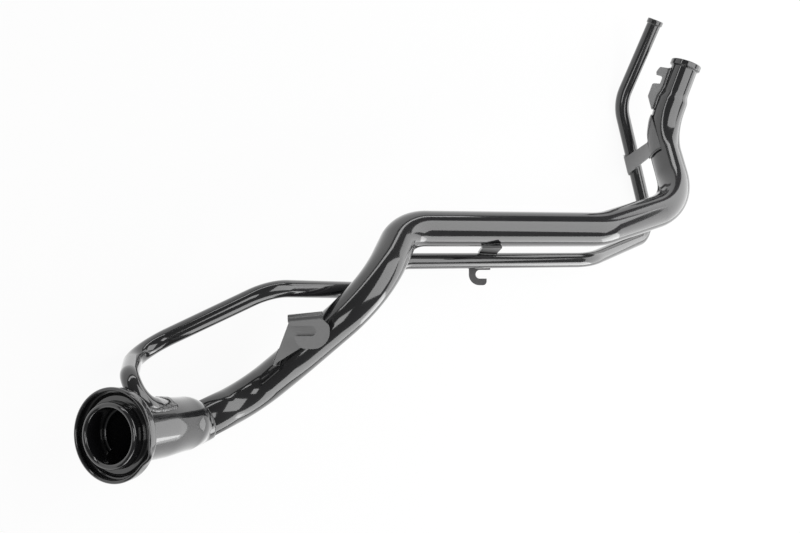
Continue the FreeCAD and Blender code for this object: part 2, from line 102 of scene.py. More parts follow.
@dataclass(frozen=True)
class Coating:
    """A black dipped and baked coating on steel.

    Colours are linear, lengths are metres and the peel height is in metres."""

    name: str
    base: tuple[float, float, float]
    tone: tuple[float, float, float]
    roughness: float
    roughness_spread: float
    coat: float
    coat_roughness: float
    peel_size: float
    peel_height: float
    flow_size: float

    def material(self) -> bpy.types.Material:
        """Build the coating's material.

        Returns:
            The material, with its shared groups placed and their values set."""
        made = bpy.data.materials.new(self.name)
        made.use_nodes = True
        tree = made.node_tree
        shader = tree.nodes["Principled BSDF"]
        shader.inputs["Coat Weight"].default_value = self.coat
        shader.inputs["Coat Roughness"].default_value = self.coat_roughness
        shader.inputs["IOR"].default_value = 1.5
        where = tree.nodes.new("ShaderNodeTexCoord")
        surface = tree.nodes.new("ShaderNodeGroup")
        surface.node_tree = ShaderGroups.dipped_surface()
        settings = {
            "Base": (*self.base, 1.0), "Tone": (*self.tone, 1.0), "Roughness": self.roughness,
            "Spread": self.roughness_spread, "Flow Size": self.flow_size}
        for socket, value in settings.items():
            surface.inputs[socket].default_value = value
        peel = tree.nodes.new("ShaderNodeGroup")
        peel.node_tree = ShaderGroups.orange_peel()
        peel.inputs["Size"].default_value = self.peel_size
        bump = tree.nodes.new("ShaderNodeBump")
        bump.inputs["Distance"].default_value = self.peel_height
        bump.inputs["Strength"].default_value = 1.0
        tree.links.new(where.outputs["Object"], surface.inputs["Place"])
        tree.links.new(where.outputs["Object"], peel.inputs["Place"])
        tree.links.new(surface.outputs["Color"], shader.inputs["Base Color"])
        tree.links.new(surface.outputs["Roughness"], shader.inputs["Roughness"])
        tree.links.new(peel.outputs["Height"], bump.inputs["Height"])
        tree.links.new(bump.outputs["Normal"], shader.inputs["Normal"])
        return made


class ShaderGroups:
    """Shader node groups that the coatings share, each built once."""

    built: dict[str, bpy.types.NodeTree] = {}

    @classmethod
    def start(cls, name: str, inputs: dict[str, str], outputs: dict[str, str]) -> tuple:
        """Make an empty group with its sockets.

        Args:
            name: The group's name.
            inputs: Socket kinds by input name.
            outputs: Socket kinds by output name.

        Returns:
            The group, its input node and its output node."""
        group = bpy.data.node_groups.new(name, "ShaderNodeTree")
        for socket, kind in inputs.items():
            group.interface.new_socket(name=socket, in_out="INPUT", socket_type=kind)
        for socket, kind in outputs.items():
            group.interface.new_socket(name=socket, in_out="OUTPUT", socket_type=kind)
        cls.built[name] = group
        return group, group.nodes.new("NodeGroupInput"), group.nodes.new("NodeGroupOutput")

    @staticmethod
    def noise(group: bpy.types.NodeTree, place: bpy.types.NodeSocket, size: bpy.types.NodeSocket,
              detail: float) -> bpy.types.NodeSocket:
        """Add noise whose grain has a size in metres.

        Args:
            group: The group to add to.
            place: The socket of the coordinates.
            size: The socket of the grain's size.
            detail: How many finer layers the noise has.

        Returns:
            The noise's value socket."""
        scale = group.nodes.new("ShaderNodeMath")
        scale.operation = "DIVIDE"
        scale.inputs[0].default_value = 1.0
        group.links.new(size, scale.inputs[1])
        texture = group.nodes.new("ShaderNodeTexNoise")
        texture.inputs["Detail"].default_value = detail
        group.links.new(place, texture.inputs["Vector"])
        group.links.new(scale.outputs[0], texture.inputs["Scale"])
        return texture.outputs["Fac"]

    @classmethod
    def dipped_surface(cls) -> bpy.types.NodeTree:
        """Build the colour and gloss of a dipped coating: slow flow tones and small dull specks.

        Returns:
            The group, with colour and roughness outputs."""
        name = "dipped_surface"
        if name in cls.built:
            return cls.built[name]
        group, enter, leave = cls.start(
            name,
            {"Place": "NodeSocketVector", "Base": "NodeSocketColor", "Tone": "NodeSocketColor",
             "Roughness": "NodeSocketFloat", "Spread": "NodeSocketFloat", "Flow Size": "NodeSocketFloat"},
            {"Color": "NodeSocketColor", "Roughness": "NodeSocketFloat"})
        flow = cls.noise(group, enter.outputs["Place"], enter.outputs["Flow Size"], 3.0)
        mix = group.nodes.new("ShaderNodeMix")
        mix.data_type = "RGBA"
        group.links.new(flow, mix.inputs["Factor"])
        group.links.new(enter.outputs["Base"], mix.inputs[6])
        group.links.new(enter.outputs["Tone"], mix.inputs[7])
        group.links.new(mix.outputs[2], leave.inputs["Color"])
        vary = group.nodes.new("ShaderNodeMath")
        vary.operation = "MULTIPLY_ADD"
        group.links.new(flow, vary.inputs[0])
        group.links.new(enter.outputs["Spread"], vary.inputs[1])
        group.links.new(enter.outputs["Roughness"], vary.inputs[2])
        group.links.new(vary.outputs[0], leave.inputs["Roughness"])
        return group

    @classmethod
    def orange_peel(cls) -> bpy.types.NodeTree:
        """Build the fine waviness of a baked coating.

        Returns:
            The group, with a height output."""
        name = "orange_peel"
        if name in cls.built:
            return cls.built[name]
        group, enter, leave = cls.start(
            name, {"Place": "NodeSocketVector", "Size": "NodeSocketFloat"}, {"Height": "NodeSocketFloat"})
        peel = cls.noise(group, enter.outputs["Place"], enter.outputs["Size"], 1.5)
        group.links.new(peel, leave.inputs["Height"])
        return group


GLOSS_BLACK = Coating("gloss_black_dip", (0.010, 0.010, 0.011), (0.018, 0.018, 0.019), 0.10, 0.08,
                      1.00, 0.04, 0.0045, 0.00003, 0.05)
SATIN_BLACK = Coating("satin_black_dip", (0.075, 0.075, 0.076), (0.100, 0.100, 0.101), 0.30, 0.12,
                      0.60, 0.22, 0.0040, 0.00002, 0.02)
MOUTH_BLACK = Coating("mouth_black_dip", (0.007, 0.007, 0.008), (0.012, 0.012, 0.013), 0.12, 0.08,
                      1.00, 0.04, 0.0030, 0.00003, 0.02)
WELD_BLACK = Coating("weld_black_dip", (0.012, 0.012, 0.013), (0.026, 0.026, 0.027), 0.16, 0.14,
                     0.80, 0.06, 0.0016, 0.00010, 0.006)


def vector(x: float, y: float, z: float) -> Vector:
    """Return a place given in millimetres as metres."""
    return Vector((x, y, z)) * MM


@dataclass
class Path:
    """A route of straight runs joined by tangent arcs, in metres.

    Args:
        points: The route's corners, with its two ends.
        radii: The bend radius at each inner corner.
        turn_step: The most that two neighbouring stations of a bend turn, in degrees."""

    points: list[Vector]
    radii: list[float]
    turn_step: float = 3.0

    def corner(self, index: int) -> tuple[Vector, Vector, Vector, Vector, float]:
        """Return the start, end, centre, axis and turn of the bend at a corner."""
        here = self.points[index]
        before = (here - self.points[index - 1]).normalized()
        after = (self.points[index + 1] - here).normalized()
        turn = before.angle(after)
        setback = self.radii[index - 1] * math.tan(turn / 2.0)
        start = here - before * setback
        inward = (after - before * before.dot(after)).normalized()
        centre = start + inward * self.radii[index - 1]
        return start, here + after * setback, centre, before.cross(after).normalized(), turn

    def stations(self) -> list[Vector]:
        """Return the points along the middle line, close together in the bends."""
        made = [self.points[0]]
        for index in range(1, len(self.points) - 1):
            start, _, centre, axis, turn = self.corner(index)
            steps = max(2, math.ceil(math.degrees(turn) / self.turn_step))
            for step in range(steps + 1):
                swing = Matrix.Rotation(turn * step / steps, 3, axis)
                made.append(centre + swing @ (start - centre))
        made.append(self.points[-1])
        return made

    def last_run(self) -> tuple[Vector, Vector, float]:
        """Return the start, direction and length of the last straight run."""
        start = self.corner(len(self.points) - 2)[1]
        run = self.points[-1] - start
        return start, run.normalized(), run.length


def smoothstep(value: float) -> float:
    """Return a smooth ramp from 0 to 1."""
    share = min(1.0, max(0.0, value))
    return share * share * (3.0 - 2.0 * share)


def link(name: str, mesh: bpy.types.Mesh) -> bpy.types.Object:
    """Return a new object of the scene with a mesh."""
    piece = bpy.data.objects.new(name, mesh)
    bpy.context.scene.collection.objects.link(piece)
    return piece


def plain_mesh(piece: bpy.types.Object) -> bpy.types.Object:
    """Turn a piece's evaluated shape into its own plain mesh.

    Args:
        piece: The piece, with live modifiers.

    Returns:
        The same piece, with the result as its mesh and no modifier."""
    graph = bpy.context.evaluated_depsgraph_get()
    mesh = bpy.data.meshes.new_from_object(piece.evaluated_get(graph), depsgraph=graph)
    piece.modifiers.clear()
    piece.data = mesh
    mesh.name = piece.name
    return piece


def finish_piece(piece: bpy.types.Object, slot: Slot, *nodes: str) -> None:
    """Hand a finished piece to the frame.

    Args:
        piece: The piece.
        slot: The record's slot of its finish; not used.
        nodes: The nodes that it stands for."""
    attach(piece, "root")
    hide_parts(*nodes)
    LOG.info("%s: %d faces, stands for %s", piece.name, len(piece.data.polygons), ", ".join(nodes))


class GeometryTrees:
    """Geometry node trees that the pieces share, each built once."""

    built: dict[str, bpy.types.NodeTree] = {}
    merge_gap = 1e-6
    ripple_steps = 8.0
    stray_scale = 160.0
    bead_sides = 16

    @classmethod
    def start(cls, name: str, inputs: dict[str, str]) -> tuple:
        """Make an empty tree with geometry in and out.

        Args:
            name: The tree's name.
            inputs: Socket kinds by input name.

        Returns:
            The tree, its input node and its output node."""
        tree = bpy.data.node_groups.new(name, "GeometryNodeTree")
        tree.interface.new_socket(name="Geometry", in_out="INPUT", socket_type="NodeSocketGeometry")
        for socket, kind in inputs.items():
            tree.interface.new_socket(name=socket, in_out="INPUT", socket_type=kind)
        tree.interface.new_socket(name="Geometry", in_out="OUTPUT", socket_type="NodeSocketGeometry")
        cls.built[name] = tree
        return tree, tree.nodes.new("NodeGroupInput"), tree.nodes.new("NodeGroupOutput")

    @staticmethod
    def close(tree: bpy.types.NodeTree, enter: bpy.types.Node, leave: bpy.types.Node,
              shape: bpy.types.NodeSocket) -> None:
        """End a tree with smooth shading, its material and realised instances.

        Args:
            tree: The tree.
            enter: Its input node, with a Material socket.
            leave: Its output node.
            shape: The socket of the finished geometry."""
        realise = tree.nodes.new("GeometryNodeRealizeInstances")
        smooth = tree.nodes.new("GeometryNodeSetShadeSmooth")
        dress = tree.nodes.new("GeometryNodeSetMaterial")
        tree.links.new(shape, realise.inputs["Geometry"])
        tree.links.new(realise.outputs[0], smooth.inputs["Geometry"])
        tree.links.new(smooth.outputs[0], dress.inputs["Geometry"])
        tree.links.new(enter.outputs["Material"], dress.inputs["Material"])
        tree.links.new(dress.outputs[0], leave.inputs["Geometry"])

    @classmethod
    def swept_wall(cls) -> bpy.types.NodeTree:
        """Build the tree that sweeps a wall along a path whose points carry two radii.

        Returns:
            The tree, with inputs Sides and Material."""
        name = "swept_wall"
        if name in cls.built:
            return cls.built[name]
        tree, enter, leave = cls.start(name, {"Sides": "NodeSocketInt", "Material": "NodeSocketMaterial"})
        path = tree.nodes.new("GeometryNodeMeshToCurve")
        tree.links.new(enter.outputs["Geometry"], path.inputs["Mesh"])
        ring = tree.nodes.new("GeometryNodeCurvePrimitiveCircle")
        ring.inputs["Radius"].default_value = 1.0
        tree.links.new(enter.outputs["Sides"], ring.inputs["Resolution"])
        join = tree.nodes.new("GeometryNodeJoinGeometry")
        for station in Station:
            radius = tree.nodes.new("GeometryNodeInputNamedAttribute")
            radius.data_type = "FLOAT"
            radius.inputs["Name"].default_value = station.value
            sweep = tree.nodes.new("GeometryNodeCurveToMesh")
            tree.links.new(path.outputs[0], sweep.inputs["Curve"])
            tree.links.new(ring.outputs["Curve"], sweep.inputs["Profile Curve"])
            tree.links.new(radius.outputs["Attribute"], sweep.inputs["Scale"])
            skin = sweep.outputs["Mesh"]
            if station is Station.INNER:
                flip = tree.nodes.new("GeometryNodeFlipFaces")
                tree.links.new(skin, flip.inputs["Mesh"])
                skin = flip.outputs["Mesh"]
            tree.links.new(skin, join.inputs["Geometry"])
        merge = tree.nodes.new("GeometryNodeMergeByDistance")
        merge.inputs["Distance"].default_value = cls.merge_gap
        tree.links.new(join.outputs[0], merge.inputs["Geometry"])
        cls.close(tree, enter, leave, merge.outputs[0])
        return tree

    @classmethod
    def rippled_bead(cls) -> bpy.types.NodeTree:
        """Build the tree that lays a rippled weld bead along a path.

        Returns:
            The tree, with inputs Radius, Pitch, Depth, Stray, Seed and Material."""
        name = "rippled_bead"
        if name in cls.built:
            return cls.built[name]
        tree, enter, leave = cls.start(name, {
            "Radius": "NodeSocketFloat", "Pitch": "NodeSocketFloat", "Depth": "NodeSocketFloat",
            "Stray": "NodeSocketFloat", "Seed": "NodeSocketFloat", "Material": "NodeSocketMaterial"})
        path = tree.nodes.new("GeometryNodeMeshToCurve")
        tree.links.new(enter.outputs["Geometry"], path.inputs["Mesh"])
        fine = tree.nodes.new("GeometryNodeResampleCurve")
        fine.mode = "LENGTH"
        tree.links.new(path.outputs[0], fine.inputs["Curve"])
        stride = cls.math(tree, "DIVIDE", enter.outputs["Pitch"], cls.ripple_steps)
        tree.links.new(stride, fine.inputs["Length"])
        along = tree.nodes.new("GeometryNodeSplineParameter")
        phase = cls.math(tree, "DIVIDE", along.outputs["Length"], enter.outputs["Pitch"])
        saw = cls.math(tree, "FRACT", phase, None)
        arch = cls.math(tree, "SINE", cls.math(tree, "MULTIPLY", saw, math.pi), None)
        ripple = cls.math(tree, "MULTIPLY", arch, enter.outputs["Depth"])
        noise = tree.nodes.new("ShaderNodeTexNoise")
        noise.noise_dimensions = "4D"
        noise.inputs["Scale"].default_value = cls.stray_scale
        place = tree.nodes.new("GeometryNodeInputPosition")
        tree.links.new(place.outputs[0], noise.inputs["Vector"])
        tree.links.new(enter.outputs["Seed"], noise.inputs["W"])
        stray = cls.math(tree, "MULTIPLY", noise.outputs["Fac"], enter.outputs["Stray"])
        radius = cls.math(tree, "ADD", cls.math(tree, "ADD", enter.outputs["Radius"], ripple), stray)
        ring = tree.nodes.new("GeometryNodeCurvePrimitiveCircle")
        ring.inputs["Radius"].default_value = 1.0
        ring.inputs["Resolution"].default_value = cls.bead_sides
        sweep = tree.nodes.new("GeometryNodeCurveToMesh")
        sweep.inputs["Fill Caps"].default_value = True
        tree.links.new(fine.outputs[0], sweep.inputs["Curve"])
        tree.links.new(ring.outputs["Curve"], sweep.inputs["Profile Curve"])
        tree.links.new(radius, sweep.inputs["Scale"])
        cls.close(tree, enter, leave, sweep.outputs["Mesh"])
        return tree

    @staticmethod
    def math(tree: bpy.types.NodeTree, operation: str, first: object,
             second: object) -> bpy.types.NodeSocket:
        """Add a math node.

        Args:
            tree: The tree.
            operation: The node's operation.
            first: A socket or a number.
            second: A socket, a number or None.

        Returns:
            The node's output socket."""
        node = tree.nodes.new("ShaderNodeMath")
        node.operation = operation
        for index, value in enumerate((first, second)):
            if isinstance(value, bpy.types.NodeSocket):
                tree.links.new(value, node.inputs[index])
            elif value is not None:
                node.inputs[index].default_value = value
        return node.outputs[0]

    @staticmethod
    def apply(piece: bpy.types.Object, tree: bpy.types.NodeTree,
              values: dict[str, object]) -> bpy.types.Object:
        """Run a tree on a piece and keep the result as its plain mesh.

        Args:
            piece: The piece whose mesh goes in.
            tree: The tree.
            values: Input values by socket name.

        Returns:
            The piece."""
        modifier = piece.modifiers.new(tree.name, "NODES")
        modifier.node_group = tree
        for item in tree.interface.items_tree:
            if item.in_out == "INPUT" and item.name in values:
                modifier[item.identifier] = values[item.name]
        return plain_mesh(piece)


def path_mesh(name: str, points: list[Vector], closed: bool = False,
              radii: Optional[dict[Station, list[float]]] = None) -> bpy.types.Object:
    """Make a mesh of edges along a path.

    Args:
        name: The piece's name.
        points: The path's points.
        closed: Whether the last point joins the first.
        radii: For each kind of radius, one for each point.

    Returns:
        The object, ready for a geometry tree."""
    mesh = bpy.data.meshes.new(name)
    edges = [(index, index + 1) for index in range(len(points) - 1)]
    if closed:
        edges.append((len(points) - 1, 0))
    mesh.from_pydata([tuple(point) for point in points], edges, [])
    for station, values in (radii or {}).items():
        attribute = mesh.attributes.new(station.value, "FLOAT", "POINT")
        attribute.data.foreach_set("value", values)
    return link(name, mesh)


def swept(name: str, stations: list[tuple[Vector, float, float]], sides: int,
          finish: bpy.types.Material) -> bpy.types.Object:
    """Sweep a wall along stations.

    Args:
        name: The piece's name.
        stations: Points with their outer and inner radius.
        sides: Sides of each ring.
        finish: The material.

    Returns:
        The piece as a plain mesh."""
    points = [station[0] for station in stations]
    radii = {Station.OUTER: [station[1] for station in stations],
             Station.INNER: [station[2] for station in stations]}
    piece = path_mesh(name, points, radii=radii)
    return GeometryTrees.apply(piece, GeometryTrees.swept_wall(), {"Sides": sides, "Material": finish})


def neck_matrix(direction: Vector = AIM.neck, origin: Vector = Vector((0.0, 0.0, 0.0))) -> Matrix:
    """Return the matrix of a frame with its Z along a direction and its X near the jig's up."""
    z_axis = direction.normalized()
    y_axis = z_axis.cross(AIM.jig_up).normalized()
    x_axis = y_axis.cross(z_axis)
    turned = Matrix((x_axis, y_axis, z_axis)).transposed().to_4x4()
    return Matrix.Translation(origin) @ turned


def rounded(points: list[Pair], radii: list[float], step: float = 12.0) -> list[Pair]:
    """Round the inner corners of a line in a plane.

    Args:
        points: Corners of the line.
        radii: A radius for each inner corner.
        step: The most that two neighbouring points of an arc turn, in degrees.

    Returns:
        The line's points, with each arc divided."""
    flat = [Vector((x, y, 0.0)) for x, y in points]
    path = Path(flat, radii, step)
    return [(point.x, point.y) for point in path.stations()]


def thick_line(line: list[Pair], wall: float) -> list[Pair]:
    """Return the closed section of a sheet along its middle line, with both ends rounded."""
    points = np.array(line)
    runs = np.diff(points, axis=0)
    runs /= np.linalg.norm(runs, axis=1)[:, None]
    ahead = np.vstack([runs, runs[-1]])
    behind = np.vstack([runs[0], runs])
    tangent = ahead + behind
    tangent /= np.linalg.norm(tangent, axis=1)[:, None]
    normal = np.stack([-tangent[:, 1], tangent[:, 0]], axis=1)
    stretch = 1.0 / np.clip((tangent * ahead).sum(axis=1), 0.5, 1.0)
    half = wall / 2.0
    offset = normal * (half * stretch)[:, None]
    turns = np.radians(END_TURNS)
    tail = [points[-1] + half * (tangent[-1] * math.cos(t) - normal[-1] * math.sin(t)) for t in turns]
    nose = [points[0] + half * (-tangent[0] * math.cos(t) + normal[0] * math.sin(t)) for t in turns]
    loop = list(points + offset) + tail + list((points - offset)[::-1]) + nose
    return [(float(x), float(y)) for x, y in loop]


def lathe(name: str, section: list[Pair], steps: int, place: Matrix, warp: Optional[Warp] = None,
          span: Optional[Pair] = None) -> bpy.types.Object:
    """Turn a closed section about the Z axis of a frame.

    Args:
        name: The piece's name.
        section: Radius and height of each point of the section.
        steps: How many sections the turn has.
        place: The frame's matrix.
        warp: Gives the radius and height of a point from its angle, radius and height.
        span: First and last angle in radians, or None for a full turn.

    Returns:
        The piece, closed, with its faces outwards."""
    mesh = bpy.data.meshes.new(name)
    build = bmesh.new()
    start, end = span or (0.0, 2.0 * math.pi)
    count = steps if span is None else steps + 1
    rings = []
    for index in range(count):
        angle = start + (end - start) * index / steps
        ring = []
        for radius, height in section:
            if warp:
                radius, height = warp(angle, radius, height)
            ring.append(build.verts.new(
                place @ Vector((radius * math.cos(angle), radius * math.sin(angle), height))))
        rings.append(ring)
    total = len(section)
    for index in range(steps):
        here, there = rings[index], rings[(index + 1) % count]
        for spot in range(total):
            after = (spot + 1) % total
            build.faces.new((here[spot], here[after], there[after], there[spot]))
    if span is not None:
        build.faces.new(rings[0])
        build.faces.new(rings[-1][::-1])
    bmesh.ops.recalc_face_normals(build, faces=build.faces)
    build.to_mesh(mesh)
    build.free()
    mesh.polygons.foreach_set("use_smooth", [True] * len(mesh.polygons))
    return link(name, mesh)


def join(name: str, pieces: Iterable[bpy.types.Object]) -> bpy.types.Object:
    """Join several meshes into one piece.

    Args:
        name: The new piece's name.
        pieces: The objects to join; they are removed.

    Returns:
        The joined piece."""
    build = bmesh.new()
    material = None
    for piece in list(pieces):
        material = material or (piece.data.materials[0] if piece.data.materials else None)
        build.from_mesh(piece.data)
        bpy.data.objects.remove(piece)
    mesh = bpy.data.meshes.new(name)
    build.to_mesh(mesh)
    build.free()
    if material:
        mesh.materials.append(material)
    return link(name, mesh)


@dataclass
class FillerTube:
    """The bent filler tube, with its narrowed and beaded tank end. Sizes are in millimetres."""

    finish: bpy.types.Material
    radius: float = 17.5
    wall: float = 1.5
    end_radius: float = 15.0
    taper_start: float = 5.0
    taper_length: float = 11.0
    bead_height: float = 2.6
    bead_length: float = 5.5
    lip_length: float = 1.2
    lip_drop: float = 1.0
    fine_end: float = 9.0
    taper_steps: int = 13
    fine_steps: int = 46
    sides: int = 96
    route: list[Vector] = field(default_factory=lambda: [
        vector(93.7, -51.4, -62.7), vector(155.1, -57.8, -72.8), vector(193.8, -32.8, -35.6),
        vector(270.1, 5.1, 8.9), vector(344.1, 35.7, -25.8), vector(539.9, -44.6, 28.0),
        vector(663.0, -65.7, 26.5), vector(726.0, -4.4, -36.8), vector(778.4, 62.0, -21.4)])
    bends: list[float] = field(default_factory=lambda: [
        r * MM for r in (50.0, 110.0, 90.0, 40.0, 67.0, 71.0, 79.0)])

    @property
    def path(self) -> Path:
        """The tube's middle line."""
        return Path(self.route, self.bends)

    def end_radius_at(self, distance: float, length: float) -> float:
        """Return the outer radius at a distance along the last run, in millimetres."""
        taper = smoothstep((distance - self.taper_start) / self.taper_length)
        radius = self.radius + (self.end_radius - self.radius) * taper
        bead_start = length - self.bead_length
        rise = smoothstep((distance - bead_start + self.bead_height) / self.bead_height)
        radius += self.bead_height * rise
        lip = max(0.0, distance - (length - self.lip_length)) / self.lip_length
        return radius - self.lip_drop * (1.0 - math.sqrt(max(0.0, 1.0 - lip * lip)))

    def build(self) -> bpy.types.Object:
        """Build the tube from the seam to the rolled bead."""
        path = self.path
        stations = [(point, self.radius * MM, (self.radius - self.wall) * MM)
                    for point in path.stations()[:-1]]
        start, along, run = path.last_run()
        length = run / MM
        taper_end = self.taper_start + self.taper_length
        distances = [*np.linspace(self.taper_start, taper_end, self.taper_steps),
                     *np.linspace(length - self.fine_end, length - END_GAP, self.fine_steps)]
        for distance in distances:
            outer = self.end_radius_at(distance, length)
            stations.append((start + along * distance * MM, outer * MM, (outer - self.wall) * MM))
        tip = self.end_radius_at(length, length) - self.wall
        stations.append((start + along * run, tip * MM, tip * MM))
        first = stations[0]
        ahead = (stations[1][0] - first[0]).normalized()
        opening = (first[0] - ahead * (END_GAP * MM), first[2], first[2])
        return swept("filler_tube_skin", [opening] + stations, self.sides, self.finish)


@dataclass
class VentTube(FillerTube):
    """The thin vent tube, from its seat in the cup round the loop to its own hose end."""

    radius: float = 8.0
    wall: float = 1.0
    end_radius: float = 8.0
    taper_start: float = 1.0
    taper_length: float = 2.0
    bead_height: float = 1.2
    bead_length: float = 5.0
    sides: int = 64
    route: list[Vector] = field(default_factory=lambda: [
        vector(62.1, -13.0, -25.6), vector(35.7, 9.9, -3.2), vector(39.3, 30.4, -17.9),
        vector(72.9, 25.8, -88.5), vector(186.6, 43.9, -18.3), vector(291.2, -7.3, -37.7),
        vector(334.7, 4.3, -39.7), vector(562.9, -92.6, -26.8), vector(715.9, -127.7, -80.2),
        vector(718.8, 37.1, -80.2), vector(769.5, 118.1, -43.2)])
    bends: list[float] = field(default_factory=lambda: [
        r * MM for r in (16.0, 16.0, 31.0, 39.0, 39.0, 40.0, 95.0, 30.0, 51.0)])

    def build(self) -> bpy.types.Object:
        """Build the vent tube."""
        piece = super().build()
        piece.name = "vent_tube_skin"
        return piece


@dataclass
class FillerCup:
    """The wide drawn cup, its shoulder and the collar over the tube. Sizes are in millimetres."""

    finish: bpy.types.Material
    tube: FillerTube
    radius: float = 26.0
    wall: float = 1.5
    edge: float = 2.6
    straight_end: float = 60.0
    shoulder_start: float = 100.0
    shoulder_radius: float = 24.0
    waist: float = 112.0
    waist_radius: float = 22.6
    collar_length: float = 6.0
    collar_wall: float = 1.5
    slip_fit: float = 0.1
    even_share: float = 0.35
    edge_round: float = 0.3
    barrel_start: float = 6.0
    barrel_steps: int = 48
    collar_start: float = 1.0
    collar_steps: int = 6
    sides: int = 96

    @property
    def collar_radius(self) -> float:
        """Outer radius of the collar."""
        return self.tube.radius + self.slip_fit + self.collar_wall

    def shoulder(self, steps: int = 16) -> list[tuple[Vector, float]]:
        """Return centres and outer radii of the shoulder, from the barrel to the seam."""
        first = AIM.neck * self.shoulder_start * MM
        seam = self.tube.route[0]
        run = (self.tube.route[1] - seam).normalized()
        reach = (seam - first).length / 3.0
        handles = [first, first + AIM.neck * reach, seam - run * reach, seam]
        made = []
        for index in range(1, steps + 1):
            t = index / steps
            shares = ((1 - t) ** 3, 3 * t * (1 - t) ** 2, 3 * t * t * (1 - t), t ** 3)
            centre = sum((handle * share for handle, share in zip(handles, shares)), Vector())
            drop = self.shoulder_radius - self.collar_radius
            share = self.even_share * t + (1.0 - self.even_share) * smoothstep(t)
            radius = self.shoulder_radius - drop * share
            made.append((centre, radius))
        return made

    def build(self) -> bpy.types.Object:
        """Build the cup from its mouth edge to the collar's end."""
        stations = []
        barrel = np.linspace(self.barrel_start, self.shoulder_start, self.barrel_steps)
        for distance in [self.edge, self.edge + self.edge_round, *barrel]:
            taper = smoothstep((distance - self.straight_end) / (self.shoulder_start - self.straight_end))
            radius = self.radius + (self.shoulder_radius - self.radius) * taper
            stations.append((AIM.neck * distance * MM, radius * MM, (radius - self.wall) * MM))
        for centre, radius in self.shoulder():
            stations.append((centre, radius * MM, (radius - self.wall) * MM))
        seam = self.tube.route[0]
        run = (self.tube.route[1] - seam).normalized()
        hollow = self.tube.radius + self.slip_fit
        for distance in np.linspace(self.collar_start, self.collar_length, self.collar_steps):
            stations.append((seam + run * distance * MM, self.collar_radius * MM, hollow * MM))
        end = seam + run * (self.collar_length + END_GAP) * MM
        stations.append((end, hollow * MM, hollow * MM))
        front = self.radius - self.wall
        opening = (AIM.neck * (self.edge - END_GAP) * MM, front * MM, front * MM)
        return swept("filler_cup_skin", [opening] + stations, self.sides, self.finish)


@dataclass
class DripDish:
    """The drip dish with its rolled rim and its pinched spout. Sizes are in millimetres."""

    finish: bpy.types.Material
    rim_radius: float = 38.8
    rim_front: float = 4.0
    bead: float = 1.6
    wall: float = 1.2
    back: float = 14.4
    corner: float = 3.0
    step_outer: float = 33.2
    step_inner: float = 31.8
    floor: float = 11.4
    fold: float = 1.3
    neck: float = 26.7
    neck_front: float = 7.6
    spout_angle: float = 112.0
    spout_reach: float = 3.4
    spout_width: float = 8.5
    spout_start: float = 1.0
    spout_fade: float = 3.0
    spout_band: float = 2.0
    roll_end: float = -255.0
    roll_points: int = 27
    steps: int = 240

    def section(self) -> list[Pair]:
        """Return the dish's closed section, from the neck round the rolled rim and back."""
        skirt = self.rim_radius - self.bead + self.wall / 2.0
        line = rounded(
            [(skirt, self.rim_front + 2.0 * self.bead), (skirt, self.back), (self.step_outer, self.back),
             (self.step_inner, self.floor), (self.neck, self.floor), (self.neck, self.neck_front)],
            [self.corner, self.fold, self.fold, self.fold])
        open_loop = thick_line(line, self.wall)[:-len(END_TURNS)]
        middle = (self.rim_radius - self.bead, self.rim_front + self.bead)
        meet = math.degrees(math.acos((skirt + self.wall / 2.0 - middle[0]) / self.bead))
        turns = np.radians(np.linspace(meet, self.roll_end, self.roll_points))
        rolled = [(middle[0] + self.bead * math.cos(t), middle[1] + self.bead * math.sin(t)) for t in turns]
        return open_loop + rolled

    def warp(self, angle: float, radius: float, height: float) -> Pair:
        """Push the rim outwards at the spout."""
        away = math.degrees(angle) - self.spout_angle
        away = (away + 180.0) % 360.0 - 180.0
        pinch = math.exp(-(away / self.spout_width) ** 2)
        depth = self.back - self.rim_front - self.spout_fade
        forward = smoothstep((self.back - self.spout_start - height) / depth)
        band = self.rim_radius - self.step_outer - self.spout_band
        outer = smoothstep((radius - self.step_outer) / band)
        return radius + self.spout_reach * pinch * forward * outer, height

    def build(self) -> bpy.types.Object:
        """Build the dish."""
        section = [(radius * MM, height * MM) for radius, height in self.section()]

        def push(angle: float, radius: float, height: float) -> Pair:
            """Warp a point that is given in metres."""
            moved = self.warp(angle, radius / MM, height / MM)
            return moved[0] * MM, moved[1] * MM

        piece = lathe("drip_dish_skin", section, self.steps, neck_matrix(), push)
        piece.data.materials.append(self.finish)
        return piece


